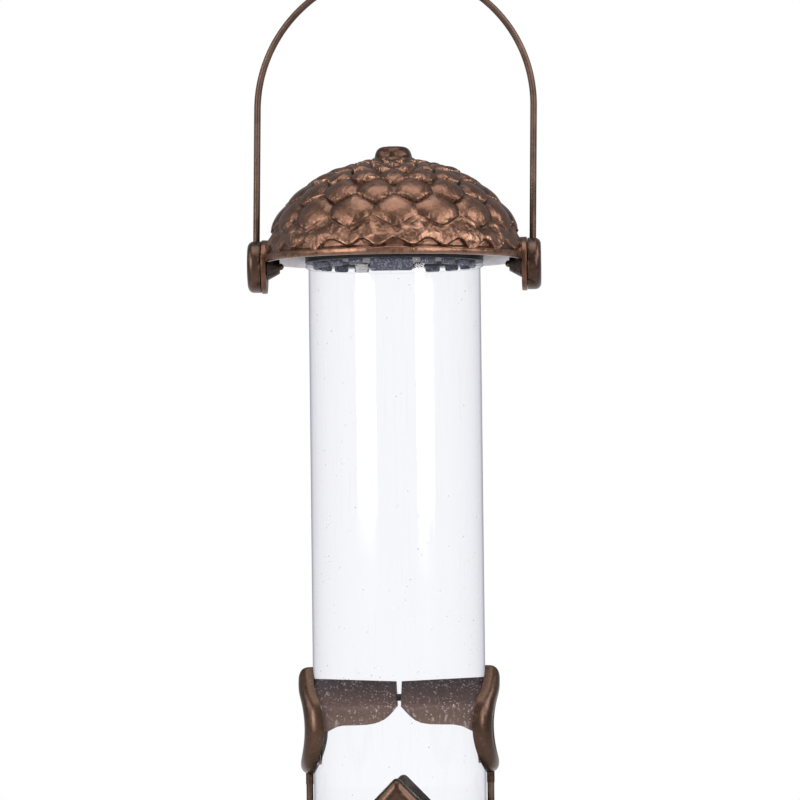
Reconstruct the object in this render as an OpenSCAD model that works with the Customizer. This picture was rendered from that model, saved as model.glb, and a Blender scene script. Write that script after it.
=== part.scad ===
// Hanging tube bird feeder: an acorn-cup cap on a clear tube with four teardrop seed
// ports, wire perches, a saucer base and a wire bail to hang it by.
// Millimetres. Origin at the centre of the foot ring's underside, +Z up, and the two
// upper ports on the X axis. The lower two ports are on the Y axis.

/* [Tube] */
// Outer diameter of the clear tube
tube_d = 64; // [62:0.5:66]
// Wall thickness of the tube
tube_wall = 1.5; // [1.2:0.1:1.8]
// Height of the tube's top edge
tube_top_z = 272.9; // [240:0.1:320]
// How far the bead round the tube's top edge stands out
bead_out = 1.2; // [0.8:0.1:1.6]
// Height of that bead
bead_h = 2; // [1.5:0.1:3]

/* [Seed ports] */
// Outer radius of the port ring's round lower half
ring_r = 16.6; // [15.5:0.1:17.5]
// Width of the ring's band, seen from the front
ring_band = 7.3; // [6:0.1:8]
// How far the ring stands proud of the tube
ring_proud = 4.8; // [4:0.1:5.5]
// Rounding radius of the ring's pointed top
ring_tip_r = 2; // [1:0.1:3]
// Outer radius of the hood's round part
hood_r = 13.4; // [12.5:0.1:14]
// Wall thickness of the hood
hood_wall = 1.4; // [1:0.1:1.8]
// Gap between the two hoods of a pair at the tube's axis
hood_gap = 1.9; // [1.5:0.1:2.5]
// Height of the upper ports' circle centres
upper_port_z = 100.1; // [98:0.1:180]
// Height of the lower ports' circle centres
lower_port_z = 59.1; // [58.5:0.1:62]
// Diameter of the rivet that ties two hoods together
rivet_d = 2.6; // [2:0.1:3]

/* [Perches] */
// Diameter of the perch wire
perch_d = 2.6; // [2.2:0.1:3]
// Length of the stem socket under each ring
socket_len = 4; // [3:0.5:6]
// Drop from the ring's lowest point to the perch's axis
perch_drop = 17; // [14:0.5:20]
// Straight length of the perch, between its two bends
perch_straight = 22; // [10:1:30]
// Angle through which the perch's end is turned up
perch_tip_angle = 25; // [10:5:35]
// Diameter of the ball on the perch's end
perch_ball_d = 4; // [3.4:0.2:6]

/* [Base] */
// Radius of the saucer's lip
saucer_r = 42; // [40:0.5:48]
// Height of the saucer's lip
saucer_h = 13; // [12:0.5:14]
// Height of the socket that holds the tube
socket_top_z = 22; // [21:0.5:23]
// Diameter of each drain hole
drain_d = 4; // [3:0.5:5]
// Number of drain holes
drain_count = 6; // [4:1:8]

/* [Cap] */
// Radius of the dome's rim
rim_r = 48.5; // [48.5:0.1:49]
// Height of the dome above its rim's lower edge, without the knob
dome_h = 39; // [36:0.5:42]
// Wall thickness of the dome
dome_wall = 1.8; // [1.5:0.1:2.2]
// Radius of the stalk knob on top
knob_r = 7; // [6:0.1:8]
// Height of that knob
knob_h = 4.3; // [3:0.1:6]
// Reach of the collar's fingers into the tube
finger_len = 2; // [1.5:0.1:5]
// Reach of the longer tongue at the collar's front
tongue_len = 4.6; // [4:0.1:6]

/* [Bail] */
// Diameter of the bail wire
bail_d = 2.5; // [2:0.1:2.5]
// Distance from the middle to each of the bail's legs
bail_r = 51.5; // [51.5:0.1:53]
// Height of the arch's centre above the pivot
bail_leg = 59; // [40:1:90]
// Radius of the pivot buttons
button_r = 9.6; // [8:0.1:10]

/* [Hidden] */
$fn = 72;

// Clearances: between pieces that stay together, and between pieces that turn
gap = 0.05;
turn_gap = 0.05;

// Tube
tube_r = tube_d / 2;
bore_r = tube_r - tube_wall;
wall_hole_r = hood_r + 0.2;

// Base, floor and the deflector inside it
floor_z = 6;
floor_t = 2;
foot_in_r = 28.4;
foot_out_r = 31;
saucer_wall = 2;
socket_in_r = tube_r + 0.15;
socket_out_r = tube_r + 4;
tube_bottom_z = floor_z + gap;
drain_pcr = 18;
screw_angles = [90, 210, 330];
screw_z = 17;
screw_r = 1.5;
screw_head_r = 2.8;
screw_head_t = 1.8;
screw_tip_r = bore_r - 3;
deflector_r = bore_r - 0.3;
deflector_wall = 1.5;
ridge_z = lower_port_z + 2.4;
roof_angle = 30;

// Port castings, drawn with the port facing +X and its circle centre at z = 0
port_spigot_r = bore_r - 1;
port_root_r = tube_r + 1.5;
bulkhead_t = 1.4;
rivet_z = 11.2;
rivet_r = rivet_d / 2;
rivet_head_r = 2.4;
rivet_head_t = 1.2;
// Lower edge of the hood's cheeks, from the tube's axis out to its wall
cheek_end = [hood_gap / 2, 7.8];
cheek_knee = [7.8, 1.9];
cheek_flat = [21.7, 1.2];
cheek_wall = [28, -1.6];

// Perches, drawn under that same port
perch_r = perch_d / 2;
stem_x = tube_r + perch_r + 0.3;
socket_r = perch_r + 0.15;
spigot_r = 0.75;
spigot_len = 5;
perch_bend_r = 5;
perch_tip_bend_r = 20;
stem_top_z = -ring_r - socket_len - gap;
perch_z = -ring_r - perch_drop;

// Cap
rim_z = tube_top_z + 0.5;
rim_band_h = 2.2;
dome_a = rim_r - 0.3;
collar_z = tube_top_z + gap;
collar_h = 7.6;
collar_r = tube_r + bead_out;
web_t = 2;
web_z = collar_z + collar_h - web_t;
finger_out_r = bore_r - 0.2;
finger_in_r = finger_out_r - 2;
wide_finger = 30;
narrow_finger = 10;
narrow_offsets = [27, 45, 63];
hub_r = 6;
boss_r = 8;
cam_z = tube_top_z + 1.2;
cam_t = 3;
cam_top_z = web_z - gap;
cam_hub_r = 12;
cam_disc_r = 20;
lobe_r = finger_in_r - 0.1;
lobe_w = 13.6;
cap_screw_r = 1.9;
cap_screw_len = 22;
cap_screw_head_r = 4;
cap_screw_head_t = 2;
washer_r = 6;
washer_t = 0.8;
washer_z = cam_z - gap - washer_t;

// Bail and its pivots, at |x| measured outwards from the axis
pivot_z = rim_z - 1.4;
wire_r = bail_d / 2;
ear_in_x = 47.5;
ear_out_x = 49.4;
ear_r = 10;
ear_pocket_r = 5.5;
lug_in_x = 46.3;
button_in_x = ear_out_x + 0.2;
button_t = 5;
button_round = 2.2;
bail_bend_r = bail_r - button_in_x;
nut_out_x = ear_in_x - 0.1;
nut_len = 4.6;
nut_big_r = 5.1;
nut_small_r = 2.6;
pin_stub = 1.3;
pin_end_x = nut_out_x - nut_len - pin_stub;
arch_z = pivot_z + bail_leg;

// Colours
bronze = [0.42, 0.30, 0.24];
dark_bronze = [0.22, 0.17, 0.14];
steel = [0.62, 0.63, 0.65];
grey_blue = [0.38, 0.41, 0.47];
clear = [0.90, 0.93, 0.98, 0.35];

// Outline of a circle with two 45 degree tangents that meet in a point above it
function teardrop(r, tip = 0) = concat(
    [for (a = [-225 : 10 : 45]) [r * cos(a), r * sin(a)]],
    tip == 0
        ? [[0, r * sqrt(2)]]
        : [for (a = [45 : 15 : 135]) [tip * cos(a), (r - tip) * sqrt(2) + tip * sin(a)]]
);

// Points on an ellipse, from angle a0 to a1
function ellipse_arc(rx, rz, a0, a1, steps) =
    [for (i = [0 : steps]) let (a = a0 + (a1 - a0) * i / steps) [rx * cos(a), rz * sin(a)]];

// Stands a flat outline up, facing +X, and extrudes it from x0 to x1
module along_x(x0, x1) {
    translate([x0, 0, 0]) rotate([90, 0, 90]) linear_extrude(x1 - x0) children();
}

// A round bar along X from x0 to x1
module bar_x(r, x0, x1) {
    translate([x0, 0, 0]) rotate([0, 90, 0]) cylinder(h = x1 - x0, r = r);
}

// A stretch of bent wire in the XZ plane, round the origin, from angle a0 through sweep
module bend_xz(bend_r, r, a0, sweep) {
    rotate([90, 0, 0]) rotate([0, 0, a0]) rotate_extrude(angle = sweep)
        translate([bend_r, 0]) circle(r);
}

// A ring sector round the Z axis, centred on angle a
module sector(r_in, r_out, a, width, h) {
    rotate([0, 0, a - width / 2]) rotate_extrude(angle = width)
        translate([r_in, 0]) square([r_out - r_in, h]);
}

// A radial bore through the base's socket, the tube and the deflector at each screw
module screw_bores() {
    for (a = screw_angles)
        rotate([0, 0, a]) translate([0, 0, screw_z])
            bar_x(screw_r + gap, screw_tip_r - 2, socket_out_r + 2);
}

module tube() {
    color(clear) difference() {
        union() {
            translate([0, 0, tube_bottom_z]) cylinder(h = tube_top_z - tube_bottom_z, r = tube_r);
            translate([0, 0, tube_top_z - bead_h]) cylinder(h = bead_h, r = tube_r + bead_out);
        }
        translate([0, 0, tube_bottom_z - 1]) cylinder(h = tube_top_z, r = bore_r);
        for (a = [0, 180]) rotate([0, 0, a]) translate([0, 0, upper_port_z]) wall_hole();
        for (a = [90, 270]) rotate([0, 0, a]) translate([0, 0, lower_port_z]) wall_hole();
        screw_bores();
    }
}

// The teardrop hole in the tube that a port's spigot goes through
module wall_hole() {
    along_x(0, tube_r + 2) polygon(teardrop(wall_hole_r));
}

// One port casting: ring outside the tube, spigot through its wall, hood inside it
module port_casting() {
    color(bronze) difference() {
        union() {
            port_ring();
            port_hood();
            translate([stem_x, 0, -ring_r - socket_len]) cylinder(h = socket_len + 3, r = socket_r);
        }
        translate([stem_x, 0, -ring_r - socket_len - 1]) cylinder(h = spigot_len + 1.6, r = spigot_r + gap);
        translate([0, 0, rivet_z]) bar_x(rivet_r + gap, 0, cheek_knee[0]);
    }
}

module port_ring() {
    intersection() {
        translate([0, 0, -2 * ring_r]) difference() {
            cylinder(h = 4 * ring_r, r = tube_r + ring_proud);
            translate([0, 0, -1]) cylinder(h = 4 * ring_r + 2, r = tube_r + gap);
        }
        along_x(0, tube_r + ring_proud + 1) difference() {
            polygon(teardrop(ring_r, ring_tip_r));
            polygon(teardrop(ring_r - ring_band));
        }
    }
}

module port_hood() {
    difference() {
        intersection() {
            translate([0, 0, -2 * ring_r]) cylinder(h = 4 * ring_r, r = port_root_r);
            along_x(hood_gap / 2, tube_r + 2) polygon(teardrop(hood_r));
        }
        along_x(hood_gap / 2 + bulkhead_t, tube_r + 3) polygon(teardrop(hood_r - hood_wall));
        intersection() {
            translate([0, 0, -2 * ring_r]) cylinder(h = 4 * ring_r, r = port_spigot_r);
            rotate([90, 0, 0]) linear_extrude(3 * hood_r, center = true)
                polygon([
                    [-1, -hood_r - 1], [-1, cheek_end[1]], cheek_end, cheek_knee, cheek_flat,
                    cheek_wall, [tube_r, cheek_wall[1]], [tube_r, -hood_r - 1]
                ]);
        }
    }
}

// A rivet through the end walls of a pair of hoods, headed inside each of them
module tie_rivet() {
    inside = hood_gap / 2 + bulkhead_t + gap;
    color(dark_bronze) translate([0, 0, rivet_z]) {
        bar_x(rivet_r, -inside, inside);
        bar_x(rivet_head_r, inside, inside + rivet_head_t);
        bar_x(rivet_head_r, -inside - rivet_head_t, -inside);
    }
}

// Wire perch: a spigot up into the ring's socket, a stem, a bend and an upturned end
module perch() {
    bend_x = stem_x + perch_bend_r;
    upturn_x = bend_x + perch_straight;
    stem_foot_z = perch_z + perch_bend_r;
    color(bronze) {
        translate([stem_x, 0, stem_top_z - 1]) cylinder(h = spigot_len + 1, r = spigot_r);
        translate([stem_x, 0, stem_foot_z]) cylinder(h = stem_top_z - stem_foot_z, r = perch_r);
        translate([bend_x, 0, stem_foot_z]) bend_xz(perch_bend_r, perch_r, 180, 90);
        translate([0, 0, perch_z]) bar_x(perch_r, bend_x, upturn_x);
        translate([upturn_x, 0, perch_z + perch_tip_bend_r]) {
            bend_xz(perch_tip_bend_r, perch_r, 270, perch_tip_angle);
            rotate([0, -perch_tip_angle, 0]) translate([0, 0, -perch_tip_bend_r])
                sphere(d = perch_ball_d);
        }
    }
}

// Turned cup with a saucer round it, standing on a foot ring
module base_cup() {
    bowl_w = saucer_r - foot_out_r;
    inner_w = bowl_w - saucer_wall;
    inner_h = saucer_h - saucer_wall;
    gutter_a = asin((socket_out_r - foot_out_r) / inner_w);
    color(bronze) difference() {
        rotate_extrude() polygon(concat(
            [[0, floor_z - floor_t], [foot_in_r, floor_z - floor_t], [foot_in_r, 0]],
            [for (a = [0 : 9 : 90]) [foot_out_r + bowl_w * sin(a), saucer_h * (1 - cos(a))]],
            [for (i = [0 : 6]) let (a = 90 + (gutter_a - 90) * i / 6)
                [foot_out_r + inner_w * sin(a), saucer_h - inner_h * cos(a)]],
            [[socket_out_r, socket_top_z], [socket_in_r, socket_top_z], [socket_in_r, floor_z], [0, floor_z]]
        ));
        for (i = [0 : drain_count - 1])
            rotate([0, 0, 360 / drain_count * (i + 0.5)]) translate([drain_pcr, 0, 0])
                cylinder(h = floor_z + 1, r = drain_d / 2);
        screw_bores();
    }
}

// Three pan-head screws through the socket, the tube and the deflector's skirt
module base_screws() {
    color(steel) for (a = screw_angles)
        rotate([0, 0, a]) translate([0, 0, screw_z]) {
            bar_x(screw_r, screw_tip_r, socket_out_r + gap);
            bar_x(screw_head_r, socket_out_r + gap, socket_out_r + gap + screw_head_t);
        }
}

// Gable roof on a round skirt: sheds the seed towards the two lower ports
module seed_deflector() {
    color(dark_bronze) difference() {
        intersection() {
            translate([0, 0, floor_z + gap]) cylinder(h = ridge_z, r = deflector_r);
            gable(ridge_z);
        }
        intersection() {
            translate([0, 0, floor_z - 1]) cylinder(h = ridge_z, r = deflector_r - deflector_wall);
            gable(ridge_z - deflector_wall / cos(roof_angle));
        }
        screw_bores();
    }
}

// Solid roof shape with its ridge along X at height z
module gable(z) {
    half_w = tube_r + 2;
    eaves_z = z - half_w * tan(roof_angle);
    rotate([90, 0, 90]) linear_extrude(2 * half_w, center = true)
        polygon([[-half_w, 0], [half_w, 0], [half_w, eaves_z], [0, z], [-half_w, eaves_z]]);
}

// Collar that sits on the tube, with fingers and a tongue that locate and grip inside it
module cap_collar() {
    color(grey_blue) difference() {
        union() {
            translate([0, 0, collar_z]) cylinder(h = collar_h, r = collar_r);
            translate([0, 0, collar_z - tongue_len])
                sector(finger_in_r - 1, finger_out_r, 270, wide_finger, tongue_len + 1);
            translate([0, 0, collar_z - finger_len]) {
                for (q = [0, 180])
                    sector(finger_in_r - 1, finger_out_r, q, wide_finger, finger_len + 1);
                for (q = [0 : 90 : 270], a = narrow_offsets)
                    sector(finger_in_r - 1, finger_out_r, q + a, narrow_finger, finger_len + 1);
            }
        }
        translate([0, 0, collar_z - tongue_len - 1])
            cylinder(h = web_z - collar_z + tongue_len + 1, r = finger_in_r);
        cylinder(h = rim_z + dome_h, r = hub_r + turn_gap);
    }
}

// Acorn-cup dome with a stalk knob, a centre boss and two ears for the bail
module cap_dome() {
    inner_a = dome_a - dome_wall;
    inner_b = dome_h - dome_wall;
    boss_top_a = acos(boss_r / inner_a);
    boss_foot_z = cam_top_z + gap - rim_z;
    shoulder_z = collar_z + collar_h + turn_gap - rim_z;
    color(bronze) difference() {
        union() {
            translate([0, 0, rim_z]) rotate_extrude() polygon(concat(
                [[rim_r - dome_wall, 0], [rim_r, 0], [rim_r, rim_band_h]],
                ellipse_arc(dome_a, dome_h, asin(rim_band_h / dome_h), acos(knob_r / dome_a), 20),
                knob_outline(dome_h * sin(acos(knob_r / dome_a))),
                [[0, boss_foot_z], [hub_r, boss_foot_z], [hub_r, shoulder_z], [boss_r, shoulder_z]],
                ellipse_arc(inner_a, inner_b, boss_top_a, asin(rim_band_h / inner_b), 20)
            ));
            translate([0, 0, pivot_z]) both_sides() {
                bar_x(ear_r, ear_in_x, ear_out_x);
                ear_root();
            }
        }
        translate([0, 0, pivot_z]) both_sides() {
            bar_x(wire_r + turn_gap, ear_in_x - 2, ear_out_x + 1);
            bar_x(ear_pocket_r, ear_in_x - 6, ear_in_x);
        }
        translate([0, 0, washer_z]) cylinder(h = cap_screw_len + 1, r = cap_screw_r + gap);
    }
}

// Upper half of the ear, thick enough to run into the dome's wall
module ear_root() {
    intersection() {
        bar_x(ear_r, lug_in_x, ear_out_x);
        translate([lug_in_x, -ear_r, rim_z - pivot_z])
            cube([ear_out_x - lug_in_x, 2 * ear_r, ear_r]);
    }
}

// Outline of the knob above height z, ending on the axis
function knob_outline(z) = [
    [0.9 * knob_r, z + 0.45 * knob_h],
    [0.76 * knob_r, z + 0.75 * knob_h],
    [0.52 * knob_r, z + 0.94 * knob_h],
    [0, z + knob_h]
];

// Its children, and their mirror image on the other side of the YZ plane
module both_sides() {
    children();
    mirror([1, 0, 0]) children();
}

// Cam on the dome's boss: its lobes turn inside the collar's ring, above the fingers
module lock_cam() {
    color(dark_bronze) translate([0, 0, cam_z]) difference() {
        union() {
            cylinder(h = cam_top_z - cam_z, r = cam_hub_r);
            cylinder(h = cam_t, r = cam_disc_r);
            intersection() {
                cylinder(h = cam_t, r = lobe_r);
                union() for (q = [0, 90])
                    rotate([0, 0, q]) translate([-2 * lobe_r, -lobe_w / 2, -1])
                        cube([4 * lobe_r, lobe_w, cam_t + 2]);
            }
        }
        translate([0, 0, -1]) cylinder(h = cam_top_z - cam_z + 2, r = cap_screw_r + gap);
    }
}

module cap_washer() {
    color(steel) translate([0, 0, washer_z]) difference() {
        cylinder(h = washer_t, r = washer_r);
        translate([0, 0, -1]) cylinder(h = washer_t + 2, r = cap_screw_r + gap);
    }
}

module cap_screw() {
    color(steel) translate([0, 0, washer_z - gap]) {
        translate([0, 0, -cap_screw_head_t]) cylinder(h = cap_screw_head_t, r = cap_screw_head_r);
        cylinder(h = cap_screw_len, r = cap_screw_r);
    }
}

// Path of one bail end from the foot of its leg to the pin, as wire of radius r
module bail_end(r, leg_top, pin_x) {
    translate([bail_r, 0, bail_bend_r]) cylinder(h = leg_top - bail_bend_r, r = r);
    translate([button_in_x, 0, bail_bend_r]) bend_xz(bail_bend_r, r, 270, 90);
    bar_x(r, pin_x, button_in_x);
}

module bail_wire() {
    color(bronze) {
        translate([0, 0, arch_z]) bend_xz(bail_r, wire_r, 0, 180);
        translate([0, 0, pivot_z]) both_sides() bail_end(wire_r, bail_leg, pin_end_x);
    }
}

// Disc that covers the bent end of the wire, on the +X side
module bail_button() {
    face = button_t - button_round;
    edge = button_r - button_round;
    color(bronze) translate([0, 0, pivot_z]) difference() {
        translate([button_in_x, 0, 0]) rotate([0, 90, 0]) rotate_extrude() polygon(concat(
            [[0, 0], [button_r, 0]],
            [for (a = [0 : 18 : 90]) [edge + button_round * cos(a), face + button_round * sin(a)]],
            [[0, button_t]]
        ));
        union() bail_end(wire_r + gap, button_r + 2, button_in_x - 1);
    }
}

// Cone-shaped push-on nut on the end of the bail's pin, on the +X side
module pivot_nut() {
    color(dark_bronze) translate([0, 0, pivot_z]) difference() {
        translate([nut_out_x, 0, 0]) rotate([0, -90, 0])
            cylinder(h = nut_len, r1 = nut_big_r, r2 = nut_small_r);
        bar_x(wire_r + gap, nut_out_x - nut_len - 1, nut_out_x + 1);
    }
}

tube();
translate([0, 0, upper_port_z]) rotate([0, 0, 180]) port_casting();  // port_upper_left
translate([0, 0, upper_port_z]) port_casting();  // port_upper_right
translate([0, 0, lower_port_z]) rotate([0, 0, 270]) port_casting();  // port_lower_front
translate([0, 0, lower_port_z]) rotate([0, 0, 90]) port_casting();  // port_lower_back
translate([0, 0, upper_port_z]) tie_rivet();  // tie_rivet_upper
translate([0, 0, lower_port_z]) rotate([0, 0, 90]) tie_rivet();  // tie_rivet_lower
translate([0, 0, upper_port_z]) rotate([0, 0, 180]) perch();  // perch_upper_left
translate([0, 0, upper_port_z]) perch();  // perch_upper_right
translate([0, 0, lower_port_z]) rotate([0, 0, 270]) perch();  // perch_lower_front
translate([0, 0, lower_port_z]) rotate([0, 0, 90]) perch();  // perch_lower_back
base_cup();
base_screws();
seed_deflector();
cap_collar();
cap_dome();
lock_cam();
cap_washer();
cap_screw();
bail_wire();
mirror([1, 0, 0]) bail_button();  // bail_button_left
bail_button();  // bail_button_right
mirror([1, 0, 0]) pivot_nut();  // pivot_nut_left
pivot_nut();  // pivot_nut_right
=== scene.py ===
"""Looks for the hanging bird feeder: acorn-cup cap, clear tube, seed ports, perches and bail.

Everything is in metres, in the CAD frame: +Z up, upper ports on X, lower ports on Y.
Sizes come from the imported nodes' boxes; a few shapes have named sizes of their own.
"""

from math import asin, copysign, cos, degrees, hypot, pi, radians, sin, sqrt, tan

import bmesh
import bpy
import numpy as np
from mathutils import Matrix, Vector, noise


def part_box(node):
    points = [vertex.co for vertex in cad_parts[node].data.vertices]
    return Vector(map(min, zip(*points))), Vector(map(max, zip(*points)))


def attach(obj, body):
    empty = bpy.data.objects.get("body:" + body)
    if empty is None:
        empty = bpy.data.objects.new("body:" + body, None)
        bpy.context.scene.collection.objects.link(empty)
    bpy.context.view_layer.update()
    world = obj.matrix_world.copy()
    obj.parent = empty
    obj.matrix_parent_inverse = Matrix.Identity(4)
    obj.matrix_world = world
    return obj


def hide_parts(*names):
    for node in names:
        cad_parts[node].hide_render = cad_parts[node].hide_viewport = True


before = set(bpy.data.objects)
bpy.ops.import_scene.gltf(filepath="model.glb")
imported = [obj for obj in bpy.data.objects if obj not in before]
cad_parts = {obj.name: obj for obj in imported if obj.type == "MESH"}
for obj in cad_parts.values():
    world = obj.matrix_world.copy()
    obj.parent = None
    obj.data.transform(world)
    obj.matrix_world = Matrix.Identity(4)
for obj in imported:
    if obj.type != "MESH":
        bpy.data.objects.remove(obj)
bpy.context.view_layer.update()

MM = 0.001
TAU = 2 * pi


# ---------------------------------------------------------------- sizes from the frame

def size_of(node):
    low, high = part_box(node)
    return high - low


TUBE_LOW, TUBE_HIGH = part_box("tube")
BEAD_R = TUBE_HIGH.x
BEAD_PROUD = 1.2 * MM
TUBE_R = BEAD_R - BEAD_PROUD
TUBE_WALL = 1.5 * MM
BORE_R = TUBE_R - TUBE_WALL
BEAD_H = 2 * MM
BASE_SOCKET_R = TUBE_R + 4 * MM

BUTTON_LOW, BUTTON_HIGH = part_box("bail_button_right")
PIVOT_Z = (BUTTON_LOW.z + BUTTON_HIGH.z) / 2
BUTTON_R = (BUTTON_HIGH.z - BUTTON_LOW.z) / 2

DOME_LOW, DOME_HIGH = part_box("cap_dome")
RIM_R = DOME_HIGH.y
EAR_OUT_X = DOME_HIGH.x
EAR_R = PIVOT_Z - DOME_LOW.z
RIM_OVER_PIVOT = 1.4 * MM
RIM_Z = PIVOT_Z + RIM_OVER_PIVOT

RING_LOW, RING_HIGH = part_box("port_upper_right")
PORT_PROUD_R = RING_HIGH.x
RING_R = RING_HIGH.y
SOCKET_LEN = 4 * MM
UPPER_PORT_Z = RING_LOW.z + SOCKET_LEN + RING_R
LOWER_PORT_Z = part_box("port_lower_front")[0].z + SOCKET_LEN + RING_R

WIRE_R = size_of("bail_wire").y / 2
BAIL_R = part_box("bail_wire")[1].x - WIRE_R
BAIL_TOP_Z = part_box("bail_wire")[1].z - WIRE_R
ARCH_Z = BAIL_TOP_Z - BAIL_R

SCREW_ANGLES = (90, 210, 330)
SCREW_Z = (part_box("base_screws")[0].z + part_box("base_screws")[1].z) / 2


# ---------------------------------------------------------------- mesh helpers

def mesh_object(name, verts, faces, materials, face_slots=None, sharp_deg=35):
    """A smooth-shaded mesh object with its edges over sharp_deg marked sharp."""
    mesh = bpy.data.meshes.new(name)
    mesh.from_pydata([tuple(v) for v in verts], [], faces)
    for material in materials:
        mesh.materials.append(material)
    if face_slots is not None:
        mesh.polygons.foreach_set("material_index", face_slots)
    obj = bpy.data.objects.new(name, mesh)
    bpy.context.scene.collection.objects.link(obj)
    finish_shading(obj, sharp_deg)
    return obj


def finish_shading(obj, sharp_deg):
    """Faces outwards, smooth, with the edges over sharp_deg marked sharp."""
    work = bmesh.new()
    work.from_mesh(obj.data)
    bmesh.ops.recalc_face_normals(work, faces=work.faces)
    work.to_mesh(obj.data)
    work.free()
    obj.data.polygons.foreach_set("use_smooth", [True] * len(obj.data.polygons))
    obj.data.set_sharp_from_angle(angle=radians(sharp_deg))
    obj.data.update()


def grid_faces(rows, columns, close_rows=False, offset=0):
    """Quads of a grid whose vertices are stored row by row; each row is a closed ring."""
    faces = []
    for i in range(rows if close_rows else rows - 1):
        below = (i + 1) % rows
        here, there = offset + i * columns, offset + below * columns
        for j in range(columns):
            right = (j + 1) % columns
            faces.append((here + j, here + right, there + right, there + j))
    return faces


def lathe(profile, steps, closed=False, axis="Z", centre=(0, 0, 0)):
    """Verts and faces of (radius, height) points turned round an axis.
    An open profile's ends on the axis become pole fans; a closed one makes a ring."""
    poles = [] if closed else [i for i in (0, len(profile) - 1) if profile[i][0] < 1e-9]
    body = [p for i, p in enumerate(profile) if i not in poles]
    verts = []
    for radius, height in body:
        for j in range(steps):
            a = TAU * j / steps
            verts.append((radius * cos(a), radius * sin(a), height))
    faces = grid_faces(len(body), steps, close_rows=closed)
    for pole in poles:
        tip = len(verts)
        verts.append((0, 0, profile[pole][1]))
        row = 0 if pole == 0 else (len(body) - 1) * steps
        for j in range(steps):
            faces.append((tip, row + j, row + (j + 1) % steps))
    turn = Matrix.Identity(3)
    if axis == "X":
        turn = Matrix.Rotation(radians(90), 3, "Y")
    verts = [turn @ Vector(v) + Vector(centre) for v in verts]
    return verts, faces


def fillet(corner, before, after, radius, steps=3):
    """Points that round a profile corner between its two neighbours."""
    c, a, b = (Vector(p) for p in (corner, before, after))
    to_a, to_b = (a - c).normalized(), (b - c).normalized()
    half = to_a.angle(to_b) / 2
    reach = radius / tan(half)
    middle = c + (to_a + to_b).normalized() * (radius / sin(half))
    start, end = c + to_a * reach - middle, c + to_b * reach - middle
    turn = start.angle_signed(end)
    points = []
    for i in range(steps + 1):
        p = middle + Matrix.Rotation(-turn * i / steps, 2) @ start
        points.append((p.x, p.y))
    return points


def rounded(profile, radius):
    """A closed profile with all its corners rounded."""
    out = []
    for i, p in enumerate(profile):
        out += fillet(p, profile[i - 1], profile[(i + 1) % len(profile)], radius)
    return out


def sweep(path, radius, sides=24):
    """Verts and faces of a round bar along a planar path, with domed ends.
    path is a list of points in the XZ plane, as (x, z)."""
    points = [Vector((x, 0, z)) for x, z in path]
    across = Vector((0, 1, 0))
    rings = []
    count = len(points)
    for i, p in enumerate(points):
        along = (points[min(i + 1, count - 1)] - points[max(i - 1, 0)]).normalized()
        rings.append((p, along, radius))
    dome_steps = 5
    head, tail = [], []
    for k in range(dome_steps, 0, -1):
        a = radians(90) * k / (dome_steps + 1)
        first, last = rings[0], rings[-1]
        head.append((first[0] - first[1] * radius * sin(a), first[1], radius * cos(a)))
        tail.insert(0, (last[0] + last[1] * radius * sin(a), last[1], radius * cos(a)))
    rings = head + rings + tail
    verts = []
    for p, along, r in rings:
        side = along.cross(across)
        for j in range(sides):
            a = TAU * j / sides
            verts.append(p + (across * cos(a) + side * sin(a)) * r)
    faces = grid_faces(len(rings), sides)
    faces.append(tuple(range(sides)))
    faces.append(tuple(range((len(rings) - 1) * sides, len(rings) * sides)))
    return verts, faces


def arc(cx, cz, radius, start, end, steps):
    """Points along an arc, from start to end degrees."""
    angles = [radians(start + (end - start) * i / steps) for i in range(steps + 1)]
    return [(cx + radius * cos(a), cz + radius * sin(a)) for a in angles]


def joined(*parts):
    """One verts and faces list from several."""
    verts, faces = [], []
    for part_verts, part_faces in parts:
        offset = len(verts)
        verts += list(part_verts)
        faces += [tuple(i + offset for i in f) for f in part_faces]
    return verts, faces


def spot(x=0.0, y=0.0, z=0.0, turn=0.0):
    """The matrix that turns a part about Z, in degrees, then moves it to (x, y, z)."""
    return Matrix.Translation((x, y, z)) @ Matrix.Rotation(radians(turn), 4, "Z")


def moved(part, matrix):
    return [matrix @ Vector(v) for v in part[0]], part[1]


def rod(radius, low, high, steps=32, axis="Z"):
    """Verts and faces of a plain cylinder."""
    return lathe([(0, low), (radius, low), (radius, high), (0, high)], steps, axis=axis)


def taken(obj):
    """The verts and faces of a working object, which is then removed."""
    verts = [v.co.copy() for v in obj.data.vertices]
    faces = [tuple(p.vertices) for p in obj.data.polygons]
    bpy.data.objects.remove(obj)
    return verts, faces


def extruded(outline, x0, x1):
    """Verts and faces of a (y, z) outline extruded along X."""
    count = len(outline)
    verts = [(x0, y, z) for y, z in outline] + [(x1, y, z) for y, z in outline]
    faces = grid_faces(2, count)
    faces.append(tuple(range(count)))
    faces.append(tuple(range(count, 2 * count)))
    return verts, faces


def boolean(obj, tools, operation="DIFFERENCE"):
    """Applies exact booleans with (verts, faces) tools, in order."""
    for verts, faces in tools:
        tool = mesh_object("tool", verts, faces, list(obj.data.materials))
        modifier = obj.modifiers.new("cut", "BOOLEAN")
        modifier.operation = operation
        modifier.solver = "EXACT"
        modifier.object = tool
        bpy.context.view_layer.update()
        evaluated = obj.evaluated_get(bpy.context.evaluated_depsgraph_get())
        result = bpy.data.meshes.new_from_object(evaluated)
        obj.modifiers.clear()
        obj.data = result
        bpy.data.objects.remove(tool)


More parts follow.
